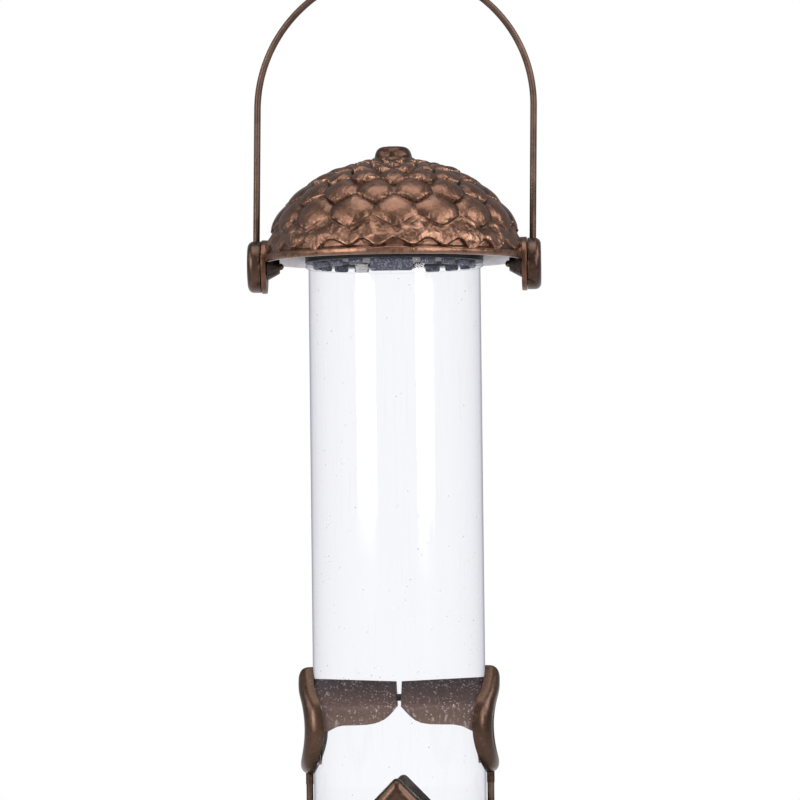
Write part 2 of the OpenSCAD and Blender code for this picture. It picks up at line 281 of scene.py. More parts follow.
def teardrop(radius, tip, arc_steps=48, tip_steps=8, flank_steps=6):
    """Outline of a circle with two 45 degree tangents and a rounded tip, as (y, z) points.
    Every radius gives the same number of points, so rings of them line up."""
    low = arc(0, 0, radius, -225, 45, arc_steps)
    high = arc(0, (radius - tip) * sqrt(2), tip, 45, 135, tip_steps)
    shares = [(i + 1) / (flank_steps + 1) for i in range(flank_steps)]
    right = [between(low[-1], high[0], t) for t in shares]
    left = [between(high[-1], low[0], t) for t in shares]
    return low + right + high + left


def between(p, q, t):
    return (p[0] + (q[0] - p[0]) * t, p[1] + (q[1] - p[1]) * t)


def smoothstep(low, high, x):
    t = np.clip((x - low) / (high - low), 0, 1)
    return t * t * (3 - 2 * t)


# ---------------------------------------------------------------- materials

class Nodes:
    """Short forms for building the node tree of a material, or of the world."""

    def __init__(self, name, world=False):
        self.owner = (bpy.data.worlds if world else bpy.data.materials).new(name)
        self.owner.use_nodes = True
        self.tree = self.owner.node_tree
        self.tree.nodes.clear()
        self.out = self.add("OutputWorld" if world else "OutputMaterial")
        self.coords = self.add("TexCoord").outputs["Generated" if world else "Object"]

    def add(self, kind, **settings):
        node = self.tree.nodes.new("ShaderNode" + kind)
        for key, value in settings.items():
            setattr(node, key, value)
        return node

    def link(self, source, target):
        self.tree.links.new(source, target)

    def node(self, kind, output, inputs, **settings):
        """Adds a node and returns one of its outputs. Each of its inputs takes another node's
        output, a number, a list for a vector or a tuple for a linear RGB colour."""
        node = self.add(kind, **settings)
        for key, value in inputs.items():
            if isinstance(value, bpy.types.NodeSocket):
                self.link(value, node.inputs[key])
            elif value is not None:
                node.inputs[key].default_value = (*value, 1) if isinstance(value, tuple) else value
        return node.outputs[output]

    def noise(self, scale, detail=3, rough=0.5, vector=None):
        return self.node("TexNoise", "Fac", {"Scale": scale, "Detail": detail, "Roughness": rough,
                                             "Vector": vector or self.coords})

    def voronoi(self, scale):
        return self.node("TexVoronoi", "Distance", {"Scale": scale, "Vector": self.coords})

    def stretched(self, z, tilt=0):
        """Coordinates scaled along Z, tilted about Y by degrees."""
        inputs = {"Scale": [1, 1, z], "Rotation": [0, radians(tilt), 0], "Vector": self.coords}
        return self.node("Mapping", "Vector", inputs)

    def attribute(self, name):
        return self.add("Attribute", attribute_name=name).outputs["Fac"]

    def ramp(self, value, stops):
        node = self.add("ValToRGB")
        ramp = node.color_ramp
        while len(ramp.elements) < len(stops):
            ramp.elements.new(0.5)
        for element, (position, colour) in zip(ramp.elements, stops):
            element.position = position
            element.color = (*colour, 1)
        self.link(value, node.inputs["Fac"])
        return node.outputs["Color"]

    def scalar(self, value, low_in, high_in, low_out, high_out):
        """One range mapped to another, held at its ends."""
        return self.node("MapRange", "Result", {"Value": value, "From Min": low_in,
                                                "From Max": high_in, "To Min": low_out,
                                                "To Max": high_out})

    def mix(self, factor, first, second):
        """A mix of two colours."""
        return self.node("Mix", 2, {"Factor": factor, 6: first, 7: second}, data_type="RGBA")

    def blend(self, factor, first, second):
        """A mix of two shaders."""
        return self.node("MixShader", 0, {0: factor, 1: first, 2: second})

    def math(self, operation, first, second):
        return self.node("Math", 0, {0: first, 1: second}, operation=operation)

    def times(self, first, second):
        return self.math("MULTIPLY", first, second)

    def bump(self, height, strength, distance, normal=None):
        return self.node("Bump", "Normal", {"Strength": strength, "Distance": distance,
                                            "Height": height, "Normal": normal})

    def principled(self, colour, rough, metallic, normal=None, coat_rough=None, **others):
        inputs = {"Base Color": colour, "Roughness": rough, "Metallic": metallic, "Normal": normal}
        if coat_rough:
            inputs.update({"Coat Weight": 0.03, "Coat Roughness": coat_rough})
        return self.node("BsdfPrincipled", "BSDF", {**inputs, **others})

    def done(self, shader):
        self.link(shader, self.out.inputs["Surface"])
        return self.owner


# Linear colours of the bronze paint, from painted shade in the grooves to painted highlights on the
# edges
GROOVE_SHADE = (0.042, 0.0215, 0.0145)
SHADE = (0.055, 0.0285, 0.0190)
BRONZE = (0.088, 0.0440, 0.0285)
CROWN_HIGHLIGHT = (0.112, 0.058, 0.038)
PAINTED_HIGHLIGHT = (0.30, 0.165, 0.112)
DUST = (0.30, 0.30, 0.33)


def scaled_cast_paint():
    """Metallic brown paint on the scaled casting, with painted shade: darker in the grooves and
    lighter on the crowns by the relief attribute, and painted highlights by the edge attribute.
    """
    n = Nodes("scaled_cast_paint")
    relief = n.attribute("relief")
    edge = n.attribute("edge")
    broad = n.noise(70, 4, 0.55)
    mottled = n.noise(420, 3, 0.6)
    # Painted shade and light: low relief (the grooves) goes dark and high relief (the crowns)
    # light, while the broad noise varies the tone
    level = n.math("ADD", n.times(relief, 0.75), n.times(broad, 0.34))
    colour = n.ramp(level, [(0.10, GROOVE_SHADE), (0.34, SHADE), (0.62, BRONZE), (0.98, CROWN_HIGHLIGHT)])
    # Painted highlights where the edge attribute is high, broken up by the mottled noise
    highlight_share = n.times(edge, n.scalar(mottled, 0.36, 0.60, 0.10, 1.0))
    colour = n.mix(highlight_share, colour, PAINTED_HIGHLIGHT)
    rough = n.scalar(mottled, 0.3, 0.7, 0.25, 0.42)
    pits = n.noise(1100, 3, 0.6)
    normal = n.bump(n.noise(330, 4, 0.6), 0.35, 0.0009)
    normal = n.bump(pits, 0.20, 0.0003, normal)
    return n.done(n.principled(colour, rough, 0.97, normal, coat_rough=0.25))


def smooth_cast_paint(name="smooth_cast_paint", dust=0.0):
    """The same paint on a smooth casting. With dust, it gets dust specks and scuffs, and painted
    light and shade by its rise attribute: lighter on the hood's lower cheeks, darker and bluer
    towards its ridge.
    """
    n = Nodes(name)
    broad = n.noise(55, 4, 0.5)
    grain = n.noise(650, 3, 0.6)
    flow = n.noise(160, 2, 0.5)
    colour = n.ramp(broad, [(0.30, (0.030, 0.017, 0.012)), (0.52, (0.050, 0.028, 0.019)),
                            (0.74, (0.072, 0.041, 0.028))])
    colour = n.mix(n.scalar(grain, 0.56, 0.72, 0, 0.3), colour, (0.16, 0.10, 0.072))
    rough = n.scalar(grain, 0.3, 0.7, 0.26, 0.40)
    if dust:
        specks = n.scalar(n.voronoi(840), 0.15, 0.28, dust, 0)
        patchy = n.scalar(n.noise(170, 3, 0.6), 0.46, 0.62, 0.0, 1)
        upright = n.noise(900, 3, 0.6, n.stretched(0.05))
        slanted = n.noise(700, 3, 0.6, n.stretched(0.05, 38))
        scuffs = n.math("MAXIMUM", n.scalar(upright, 0.60, 0.72, 0, 0.6 * dust),
                        n.scalar(slanted, 0.62, 0.72, 0, 0.7 * dust))
        marks = n.math("MAXIMUM", n.times(specks, patchy), scuffs)
        rise = n.attribute("rise")
        veil = n.scalar(n.noise(110, 4, 0.6), 0.35, 0.7, 0.35, 0.85)
        cheek = n.mix(veil, (0.064, 0.036, 0.028), (0.080, 0.049, 0.043))
        # Painted light: lighter low on the hood's cheeks
        cheek = n.mix(n.scalar(rise, 0.10, 0.45, 0.8, 0), cheek, (0.150, 0.094, 0.074))
        # Painted shade with a bluish painted reflection: darker and bluer up towards the ridge
        colour = n.mix(n.scalar(rise, 0.62, 1.0, 0, 0.85), cheek, (0.034, 0.028, 0.036))
        colour = n.mix(marks, colour, (0.50, 0.44, 0.42))
        rough = 0.42
    normal = n.bump(flow, 0.10, 0.0008)
    normal = n.bump(grain, 0.10, 0.0003, normal)
    return n.done(n.principled(colour, rough, 0.94, normal, coat_rough=0.2))


def wire_paint():
    """Paint on drawn wire: even, with a fine grain and rubbed patches."""
    n = Nodes("wire_paint")
    lines = n.noise(900, 2, 0.6)
    patches = n.noise(120, 4, 0.6)
    colour = n.ramp(patches, [(0.32, (0.042, 0.025, 0.018)), (0.60, (0.073, 0.044, 0.032)),
                              (0.80, (0.102, 0.063, 0.045))])
    colour = n.mix(n.scalar(lines, 0.60, 0.75, 0, 0.15), colour, (0.18, 0.12, 0.085))
    rough = n.scalar(patches, 0.3, 0.7, 0.38, 0.50)
    return n.done(n.principled(colour, rough, 0.85, n.bump(lines, 0.06, 0.0002)))


def bare_metal():
    """Light grey, slightly streaky bare metal on the inside of the dome."""
    n = Nodes("bare_metal")
    mottled = n.noise(140, 4, 0.6)
    colour = n.ramp(mottled, [(0.3, (0.34, 0.32, 0.335)), (0.7, (0.48, 0.455, 0.475))])
    normal = n.bump(n.noise(700, 3, 0.6), 0.15, 0.0003)
    return n.done(n.principled(colour, n.scalar(mottled, 0.3, 0.7, 0.38, 0.52), 0.7, normal))


def clear_plastic():
    """See-through, with painted shade that greys it towards the edges, a reflection, dust and fine
    scratches.
    """
    n = Nodes("clear_plastic")
    facing = n.node("LayerWeight", "Facing", {"Blend": 0.5})
    # Painted shade: a faint blue tint in the middle, greying towards the edges where a real tube
    # darkens by refraction
    tint_and_edge_shade = n.ramp(facing, [
        (0.00, (0.982, 0.985, 0.998)), (0.20, (0.979, 0.981, 0.995)), (0.36, (0.966, 0.967, 0.982)),
        (0.49, (0.942, 0.943, 0.960)), (0.58, (0.916, 0.917, 0.938)), (0.66, (0.885, 0.886, 0.912)),
        (0.74, (0.850, 0.850, 0.882)), (0.79, (0.79, 0.79, 0.83)), (0.85, (0.70, 0.70, 0.74)),
        (0.92, (0.55, 0.55, 0.59)), (1.0, (0.45, 0.45, 0.48))])
    see_through = n.node("BsdfTransparent", 0, {"Color": tint_and_edge_shade})
    rough = n.scalar(n.noise(60, 3, 0.5), 0.3, 0.7, 0.06, 0.11)
    gloss = n.node("BsdfGlossy", 0, {"Color": (1, 1, 1), "Roughness": rough})
    mirror = n.math("ADD", 0.030, n.times(n.math("POWER", facing, 5.0), 0.22))
    surface = n.blend(mirror, see_through, gloss)
    dust = n.node("BsdfDiffuse", 0, {"Color": DUST})
    rare = n.scalar(n.noise(95, 2, 0.5), 0.54, 0.64, 0, 1)
    specks = n.times(n.scalar(n.voronoi(330), 0.08, 0.15, 0.55, 0), rare)
    scratches = n.noise(900, 2, 0.6, n.stretched(0.03))
    haze = n.scalar(scratches, 0.60, 0.78, 0, 0.035)
    return n.done(n.blend(n.math("MAXIMUM", specks, haze), surface, dust))


def bore_plastic():
    """The tube's inner surface, which shows only faint dust and rub marks from the seed."""
    n = Nodes("bore_plastic")
    see_through = n.node("BsdfTransparent", 0, {"Color": (0.994, 0.994, 0.996)})
    dust = n.node("BsdfDiffuse", 0, {"Color": DUST})
    marks = n.scalar(n.noise(300, 4, 0.7, n.stretched(0.08)), 0.60, 0.80, 0, 0.05)
    return n.done(n.blend(marks, see_through, dust))


def collar_plastic():
    """Dark moulded plastic, grey-blue with a mottled film and pale specks below the tube's top
    edge.
    """
    n = Nodes("collar_plastic")
    dust = n.noise(1300, 3, 0.7)
    speck = n.scalar(n.voronoi(760), 0.12, 0.26, 0.9, 0)
    height = n.node("SeparateXYZ", "Z", {0: n.coords})
    below = n.scalar(height, TUBE_HIGH.z - 0.4 * MM, TUBE_HIGH.z + 0.4 * MM, 1, 0)
    # Below the tube's top edge the colour turns grey-blue, with a mottled film and pale specks
    base = n.mix(below, (0.006, 0.004, 0.0035), (0.048, 0.048, 0.072))
    film = n.times(n.scalar(dust, 0.50, 0.66, 0, 0.75), below)
    colour = n.mix(film, base, (0.26, 0.27, 0.34))
    speck = n.times(speck, n.times(below, 0.5))
    colour = n.mix(speck, colour, (0.55, 0.57, 0.66))
    normal = n.bump(dust, 0.2, 0.0003)
    return n.done(n.principled(colour, 0.5, 0.0, normal, **{"Specular IOR Level": 0.25}))


def mottled_finish(name, patches, dark, light, grain, rough, metallic, bump, streak=0):
    """Two tones in patches, with a grain in the roughness and the surface, which can streak."""
    n = Nodes(name)
    mottled = n.noise(*patches)
    fine = n.noise(*grain, n.stretched(streak) if streak else None)
    colour = n.ramp(mottled, [(0.3, dark), (0.7, light)])
    rough = n.scalar(fine, 0.3, 0.7, *rough)
    return n.done(n.principled(colour, rough, metallic, n.bump(fine, *bump)))


MATERIALS = {
    "scaled": scaled_cast_paint(),
    "cast": smooth_cast_paint(),
    "hood": smooth_cast_paint("dusty_shaded_cast_paint", dust=0.8),
    "wire": wire_paint(),
    "bare": bare_metal(),
    "clear": clear_plastic(),
    "bore": bore_plastic(),
    "collar": collar_plastic(),
    "dark": mottled_finish("dark_plastic", (90, 3, 0.5), (0.028, 0.020, 0.017),
                           (0.055, 0.041, 0.034), (800, 3, 0.6), (0.45, 0.6), 0.0, (0.25, 0.0002)),
    "steel": mottled_finish("plated_steel", (200, 3, 0.5), (0.42, 0.41, 0.40), (0.62, 0.61, 0.60),
                            (900, 3, 0.6), (0.22, 0.38), 1.0, (0.12, 0.0002), streak=0.1),
    "dark_metal": mottled_finish("dark_metal", (500, 4, 0.6), (0.018, 0.012, 0.010),
                                 (0.048, 0.031, 0.024), (500, 4, 0.6), (0.32, 0.5), 0.8,
                                 (0.15, 0.0003)),
}


def place(obj, body, node):
    """Rides the piece on its body and stands it in for its CAD node."""
    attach(obj, body)
    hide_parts(node)


# ---------------------------------------------------------------- the acorn-cup dome

RIM_BAND_H = 2.2 * MM
DOME_WALL = 1.8 * MM
DOME_H = 39 * MM
DOME_POWER = 2.08
KNOB_R = 7 * MM
EAR_THICK = 1.9 * MM
KNOB_H = DOME_HIGH.z - RIM_Z - DOME_H + 0.4 * MM
SCALE_COUNT = 16
RELIEF = 2.6 * MM
FRONT = radians(-87.4)

# Rows of scales, from the rim up: tip's distance up the surface from the rim band, how many
# scales go round, whether the row is shifted half a scale, and how tall each V edge is
ROWS = (
    (0.3 * MM, 3 * SCALE_COUNT // 2, 0.5, 3.4 * MM),
    (8.6 * MM, SCALE_COUNT, 0.0, 5.4 * MM),
    (20.0 * MM, SCALE_COUNT, 0.5, 5.3 * MM),
    (31.0 * MM, SCALE_COUNT, 0.0, 4.6 * MM),
    (40.2 * MM, SCALE_COUNT, 0.5, 3.7 * MM),
    (47.2 * MM, SCALE_COUNT, 0.0, 2.6 * MM),
    (52.4 * MM, SCALE_COUNT, 0.5, 1.6 * MM),
)


# Height of the folds near each row's edges, in mm; the lowest row has its own
FOLD_SIZES = (None, 0.24, 0.28, 0.22, 0.16, 0.10, 0.06)


def dome_radius(z, a, b):
    """The dome's radius at height z, on a superellipse a wide and b tall."""
    return a * max(0.0, 1 - (z / b) ** DOME_POWER) ** (1 / DOME_POWER)


def dome_curve(a, b, z_start, r_end, steps):
    """Evenly spaced (radius, height) points up the dome, from z_start to radius r_end."""
    fine = 4000
    z_end = b * (1 - (r_end / a) ** DOME_POWER) ** (1 / DOME_POWER)
    t = np.linspace(0, 1, fine)
    start_angle = asin(z_start / b)
    z = b * np.sin(start_angle + (pi / 2 - start_angle) * t)
    z = z[z <= z_end]
    r = np.array([dome_radius(v, a, b) for v in z])
    length = np.concatenate([[0], np.cumsum(np.hypot(np.diff(r), np.diff(z)))])
    at = np.linspace(0, length[-1], steps)
    return np.interp(at, length, r), np.interp(at, length, z), at


def scatter(row, index, salt):
    """A repeatable number from -1 to 1 for one scale."""
    value = np.sin(row * 127.1 + index * 311.7 + salt * 74.7) * 43758.5453
    return 2 * (value - np.floor(value)) - 1


def row_edge(row, theta, s):
    """For one row: how far each point is above the row's V edges, and its place across a scale."""
    tip, count, shift, v_len = ROWS[row]
    pitch = TAU / count
    u = (theta - FRONT) / pitch - shift
    index = np.mod(np.round(u), count)
    across = u - np.round(u)
    jitter = 0.035 if row else 0.10
    across = across + jitter * scatter(row, index, 1) * (1 - (2 * across) ** 2)
    wide = np.abs(2 * across)
    tip_shift = (0.45 if row else 1.1) * MM * scatter(row, index, 2) * (1 - wide)
    pointed = np.sqrt(wide ** 2 + 0.012) - 0.11
    arched = 0.5 - 0.5 * np.cos(pi * np.clip(wide, 0, 1))
    share = 0.15 if row else 0.85
    edge = tip + tip_shift + v_len * (pointed * (1 - share) + arched * share)
    return s - edge, across, index


def scale_relief(theta, s, s_top, folds, crumple):
    """Height of the scales above the dome's base surface, and the painted highlight share of each
    point: on the lips of the V edges, on the scales' shoulders and over the crumpled lowest row.
    """
    band = RELIEF * 1.12 - 0.25 * MM
    rows = len(ROWS)
    edges = [row_edge(k, theta, s) for k in range(rows)]
    recess = 0.80 * MM * smoothstep(0.2 * MM, 1.4 * MM, s)
    crease = 0.15 * MM * np.exp(-((edges[0][0] + 0.28 * MM) / (0.50 * MM)) ** 2)
    height = band - recess - crease
    lip = np.zeros(theta.shape)
    for k in range(rows):
        e, across, index = edges[k]
        f = -edges[k + 1][0] if k + 1 < rows else s_top - s
        total = np.maximum(e + f, 1e-4)
        x = np.clip(e / total, 0, 1)
        wide = np.abs(2 * across)
        near_edge = np.exp(-np.maximum(e, 0) / (3.6 * MM))
        # The lip: a thin ridge under each V edge, which also gets a painted highlight
        lip_and_highlight = np.exp(-((e - 0.50 * MM) / (0.32 * MM)) ** 2)
        lip_and_highlight = lip_and_highlight * np.clip(0.35 + 1.5 * folds, 0, 1.3)
        if k == 0:
            local = band + 0.30 * MM * (1 - wide ** 2) - 1.75 * MM * smoothstep(0.15, 1.0, x)
            local = local + 0.25 * MM * lip_and_highlight
            local = local + 0.40 * MM * crumple + 0.16 * MM * folds * (0.4 + 0.6 * near_edge)
            # Painted highlights over the crumpled lowest row
            lip_and_highlight = lip_and_highlight + 0.6 * smoothstep(-0.2, 0.5, crumple)
        else:
            dome = ((x + 0.05) ** 0.5) * (np.clip(1.03 - x, 0.001, 2) ** 0.8) / 0.49
            along = 0.26 + 0.74 * dome
            cross = 0.52 + 0.48 * (1 - wide ** 2.4)
            taper = np.clip(total / (9 * MM), 0.35, 1.0)
            size = (1.12 if k == 1 else 1.0) + 0.08 * scatter(k, index, 3)
            local = RELIEF * size * along * cross * (0.45 + 0.55 * taper)
            local = local + FOLD_SIZES[k] * MM * folds * near_edge * (1 - 0.5 * wide ** 2)
            local = local + 0.42 * MM * lip_and_highlight * taper
            # Painted highlight along the upper shoulder of each scale
            lip_and_highlight = lip_and_highlight + 0.4 * np.exp(-((x - 0.80) / 0.12) ** 2) * (1 - wide ** 2)
            if k == 1:
                local = local + 0.10 * MM * crumple * near_edge
        gate = smoothstep(-0.16 * MM, 0.40 * MM, e)
        height = height * (1 - gate) + local * gate
        lip = lip * (1 - gate) + lip_and_highlight * gate
    return height, lip


def build_dome():
    """The scaled shell with its knob, rim, bare lining, centre boss and ears, as one piece."""
    steps = 960
    rows = 232
    a, b = RIM_R - 0.1 * MM, DOME_H + 0.1 * MM
    r, z, s = dome_curve(a, b, RIM_BAND_H, KNOB_R, rows)
    theta = TAU * np.arange(steps) / steps
    grid_theta, grid_s = np.meshgrid(theta, s)
    base_x = np.outer(r, np.cos(theta))
    base_y = np.outer(r, np.sin(theta))
    base_z = np.outer(z, np.ones(steps))
    slim = 34 * MM      # folds run down the dome, so they are drawn on a cylinder
    folds = noise_field(slim * np.cos(grid_theta), slim * np.sin(grid_theta), grid_s * 0.32, 560, 3)
    crumple = noise_field(base_x, base_y, base_z, 210, 3)
    dents = noise_field(base_x, base_y, base_z, 90, 3)
    height, lip = scale_relief(grid_theta, grid_s, s[-1], folds, crumple)
    height = height + 0.12 * MM * dents
    fade = smoothstep(0, 0.5 * MM, grid_s) * smoothstep(0, 3 * MM, s[-1] - grid_s)
    sink = (RELIEF * 1.12 - height) * fade
    normal_r = np.gradient(z, s)
    normal_z = -np.gradient(r, s)
    length = np.hypot(normal_r, normal_z)
    normal_r, normal_z = normal_r / length, normal_z / length
    new_r = r[:, None] - sink * normal_r[:, None]
    new_z = z[:, None] - sink * normal_z[:, None]

    knob = knob_profile(z[-1])
    rim = [(RIM_R - 0.2 * MM, RIM_BAND_H - 0.1 * MM), (RIM_R, RIM_BAND_H - 0.7 * MM),
           (RIM_R, 0.7 * MM), (RIM_R - 0.25 * MM, 0.25 * MM), (RIM_R - 0.7 * MM, 0.0),
           (RIM_R - DOME_WALL + 0.3 * MM, 0.0), (RIM_R - DOME_WALL, 0.3 * MM)]
    lining = DOME_WALL + 1.6 * MM
    inner_r, inner_z, _ = dome_curve(a - lining, b - lining, RIM_BAND_H, 8 * MM, 34)
    boss_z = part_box("cap_collar")[1].z - RIM_Z + 0.1 * MM
    hub_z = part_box("lock_cam")[1].z - RIM_Z + 0.05 * MM
    boss = [(8 * MM, boss_z + 0.5 * MM), (7.5 * MM, boss_z), (6.2 * MM, boss_z),
            (6 * MM, boss_z - 0.2 * MM), (6 * MM, hub_z)]

    verts, attributes = [], []
    ring_kinds = []

    def add_ring(radii, heights, relief, edge, kind):
        """Kind 0 is painted and kind 1 is bare."""
        for j in range(steps):
            x, y = radii[j] * cos(theta[j]), radii[j] * sin(theta[j])
            verts.append((x, y, RIM_Z + heights[j]))
        attributes.extend(zip(relief, edge))
        ring_kinds.append(kind)

    plain, none = np.full(steps, 0.72), np.zeros(steps)
    for radius, level in knob:
        lumps = [Vector((cos(t) * 2.2, sin(t) * 2.2, level * 260)) for t in theta]
        stalk = np.array([0.30 * MM * noise.noise(v) for v in lumps])
        shrink = min(1.0, radius / (2 * MM))
        heights = np.full(steps, level) - np.abs(stalk) * 0.5
        add_ring(radius + stalk * shrink, heights, plain * 0.10, none, 0)
    for i in range(rows - 1, -1, -1):
        add_ring(new_r[i], new_z[i], height[i] / RELIEF, lip[i] * fade[i], 0)
    # The rim: a painted highlight all round it, through its edge value of 0.35
    for i, (radius, level) in enumerate(rim):
        kind = 0 if i < 4 else 1
        add_ring(np.full(steps, radius), np.full(steps, level), plain * 1.1, none + 0.35, kind)
    for radius, level in list(zip(inner_r, inner_z)) + boss:
        add_ring(np.full(steps, radius), np.full(steps, level), plain, none, 1)

    rings = len(ring_kinds)
    faces = grid_faces(rings, steps)
    slots = []
    for i in range(rings - 1):
        slots += [ring_kinds[i]] * steps
    top, foot = len(verts), len(verts) + 1
    verts.append((0, 0, RIM_Z + DOME_H + KNOB_H - 0.4 * MM))
    verts.append((0, 0, RIM_Z + hub_z))
    attributes += [(0.6, 0), (0.7, 0)]
    for tip, start, slot in ((top, 0, 0), (foot, (rings - 1) * steps, 1)):
        faces += [(tip, start + j, start + (j + 1) % steps) for j in range(steps)]
        slots += [slot] * steps
    carve_nut_pockets(verts, rings, steps, ring_kinds)
    for side in (-1, 1):
        ear_verts, ear_faces = joined(ear(side), ear_root(side))
        offset = len(verts)
        verts += ear_verts
        faces += [tuple(i + offset for i in f) for f in ear_faces]
        slots += [0] * len(ear_faces)
        attributes += [(0.62, 0.0)] * len(ear_verts)
    finishes = [MATERIALS["scaled"], MATERIALS["bare"]]
    obj = mesh_object("acorn_cup_dome", verts, faces, finishes, slots, 50)
    # relief drives the paint's painted shade, and edge its painted highlights
    for name, column in (("relief", 0), ("edge", 1)):
        layer = obj.data.attributes.new(name, "FLOAT", "POINT")
        layer.data.foreach_set("value", np.array([v[column] for v in attributes], np.float32))
    place(obj, "cap", "cap_dome")


def noise_field(x, y, z, scale, octaves):
    """Fractal noise from about -1 to 1 at each point."""
    flat = [
        noise.fractal(Vector((px, py, pz)) * scale, 0.9, 2.1, octaves)
        for px, py, pz in zip(x.ravel(), y.ravel(), z.ravel())
    ]
    return np.array(flat).reshape(x.shape)


def knob_profile(base_z):
    """The stalk knob from just off its top centre down to the dome."""
    top = DOME_H + KNOB_H - 0.4 * MM
    points = [(0.15, 1.0), (0.40, 0.995), (0.58, 0.965), (0.70, 0.90), (0.80, 0.79), (0.88, 0.63),
              (0.94, 0.44), (0.98, 0.24), (1.0, 0.08)]
    return [(KNOB_R * share, base_z + (top - base_z) * up) for share, up in points]


def carve_nut_pockets(verts, rings, steps, ring_kinds):
    """Pushes the dome's inner wall out to the ears round each pivot nut."""
    ear_in = EAR_OUT_X - EAR_THICK - 0.05 * MM
    pocket_r = 5.6 * MM
    for i, (x, y, z) in enumerate(verts[: rings * steps]):
        if ring_kinds[i // steps] != 1 and z > RIM_Z + 0.5 * MM:
            continue
        if abs(x) > 40 * MM and hypot(y, z - PIVOT_Z) < pocket_r and abs(x) < ear_in:
            verts[i] = (copysign(ear_in, x), y, z)


def ear(side):
    """One ear plate: a disc with a bore, rounded at its edges."""
    hole = WIRE_R + 0.05 * MM
    outline = [(hole, 0), (EAR_R, 0), (EAR_R, EAR_THICK), (hole, EAR_THICK)]
    profile = rounded(outline, 0.25 * MM)
    centre = (EAR_OUT_X - EAR_THICK, 0, PIVOT_Z)
    verts, faces = lathe(profile, 96, closed=True, axis="X", centre=centre)
    return [Vector((side * v.x, v.y, v.z)) for v in verts], faces


def ear_root(side):
    """The ear's upper half, thick enough to run into the dome's wall."""
    root_in = EAR_OUT_X - 3.1 * MM
    radius = EAR_R - 0.05 * MM
    start = degrees(asin((RIM_Z - PIVOT_Z) / radius))
    outline = arc(0, PIVOT_Z, radius, start, 180 - start, 48)
    verts, faces = extruded(outline, root_in, EAR_OUT_X - 0.4 * MM)
    return [Vector((side * x, y, z)) for x, y, z in verts], faces


# ---------------------------------------------------------------- ports

HOOD_R = 13.4 * MM
HOOD_WALL = 1.4 * MM
HOOD_TIP = 0.8 * MM
HOOD_GAP = 1.9 * MM
RING_BAND = 7.3 * MM
RING_TIP = 2 * MM
RING_GROWTH = 1.016      # the photo's rings look a little taller than the CAD's
RIVET_Z = 11.2 * MM
STEM_X = TUBE_R + 1.6 * MM


def ring_mesh():
    """Half-round band along the teardrop, wrapped on the tube; its circle centre is at z = 0."""
    across_steps = 18
    proud = PORT_PROUD_R - TUBE_R
    loops = []
    for k in range(across_steps + 1):
        a = pi * k / across_steps
        offset = -cos(a) * RING_BAND / 2
        rise = proud * sin(a) ** 0.55 if 0 < k < across_steps else 0.0
        loops.append((offset, max(rise, 0.05 * MM)))
    for share in (0.5, 0.0, -0.5):
        loops.append((share * RING_BAND / 2, 0.05 * MM))
    verts = []
    middle = RING_R - RING_BAND / 2
    for offset, rise in loops:
        tip = RING_TIP * (0.12 + 0.88 * (offset + RING_BAND / 2) / RING_BAND)
        for y, z in teardrop(middle + offset, tip):
            lift = 0.6 * MM * rise / proud * smoothstep(8 * MM, 15 * MM, z)
            radius = TUBE_R + rise + lift
            verts.append((sqrt(radius ** 2 - y ** 2), y, z * RING_GROWTH))
    columns = len(teardrop(middle, RING_TIP))
    return verts, grid_faces(len(loops), columns, close_rows=True)


def hood_side_cut():
    """Solid below the hood's cheeks: an S-shaped edge from the wall to the middle."""
    edge = [(0.0, 8.9), (0.9, 8.0), (2.2, 6.6), (4.2, 4.5), (6.2, 2.9), (8.4, 1.9), (11.5, 1.35),
            (16.0, 1.2), (20.5, 1.15), (23.5, 0.55), (25.5, -0.4), (27.2, -1.3), (29.2, -2.0)]
    top = [(x * MM, z * MM) for x, z in edge]
    under = -HOOD_R - 2 * MM
    outline = top + [(top[-1][0], under), (-1 * MM, under), (-1 * MM, top[0][1])]
    verts, faces = extruded(outline, -20 * MM, 20 * MM)
    return [(v[1], v[0], v[2]) for v in verts], faces


def build_port(name, turn, height, node):
    """One casting: the ring outside the tube, the hood inside it and the perch's socket."""
    obj = mesh_object(name, *ring_mesh(), [MATERIALS["cast"], MATERIALS["hood"]])
    solid = extruded(teardrop(HOOD_R, HOOD_TIP), HOOD_GAP / 2, TUBE_R + 3 * MM)
    tunnel = mesh_object("tunnel", *solid, [MATERIALS["hood"]])
    boolean(tunnel, [rod(TUBE_R + 1.4 * MM, -30 * MM, 30 * MM, 128)], "INTERSECT")
    hollow = teardrop(HOOD_R - HOOD_WALL, HOOD_TIP / 2)
    cavity = extruded(hollow, HOOD_GAP / 2 + HOOD_WALL, TUBE_R + 9 * MM)
    boolean(tunnel, [cavity, hood_side_cut(), rivet_bore()])
    drop_ridge(tunnel.data)
    stem = rod(1.45 * MM, 0, SOCKET_LEN + 3.4 * MM, 40)
    stem = moved(stem, spot(STEM_X, 0, -RING_R - SOCKET_LEN))
    boolean(obj, [taken(tunnel), stem], "UNION")
    paint_hood(obj.data)
    # How far up the hood each point is, which sets the hood paint's painted light and shade
    rise = obj.data.attributes.new("rise", "FLOAT", "POINT")
    rise.data.foreach_set("value", [v.co.z / (HOOD_R * sqrt(2)) for v in obj.data.vertices])
    finish_shading(obj, 38)
    obj.data.transform(spot(z=height, turn=turn))
    place(obj, "feeder", node)


def rivet_bore():
    return moved(rod(1.35 * MM, 0, 6 * MM, axis="X"), spot(z=RIVET_Z))


def drop_ridge(mesh):
    """The hood's ridge falls a little towards the tube's middle; its lower edges stay."""
    fall, reach, still_z = 1.5 * MM, BORE_R - 2 * MM, 12.6 * MM
    for v in mesh.vertices:
        inward = min(1.0, max(0.0, (reach - v.co.x) / reach))
        upper = min(1.0, max(0.0, (v.co.z - still_z) / (HOOD_R * sqrt(2) - still_z)))
        v.co.z -= fall * inward * upper


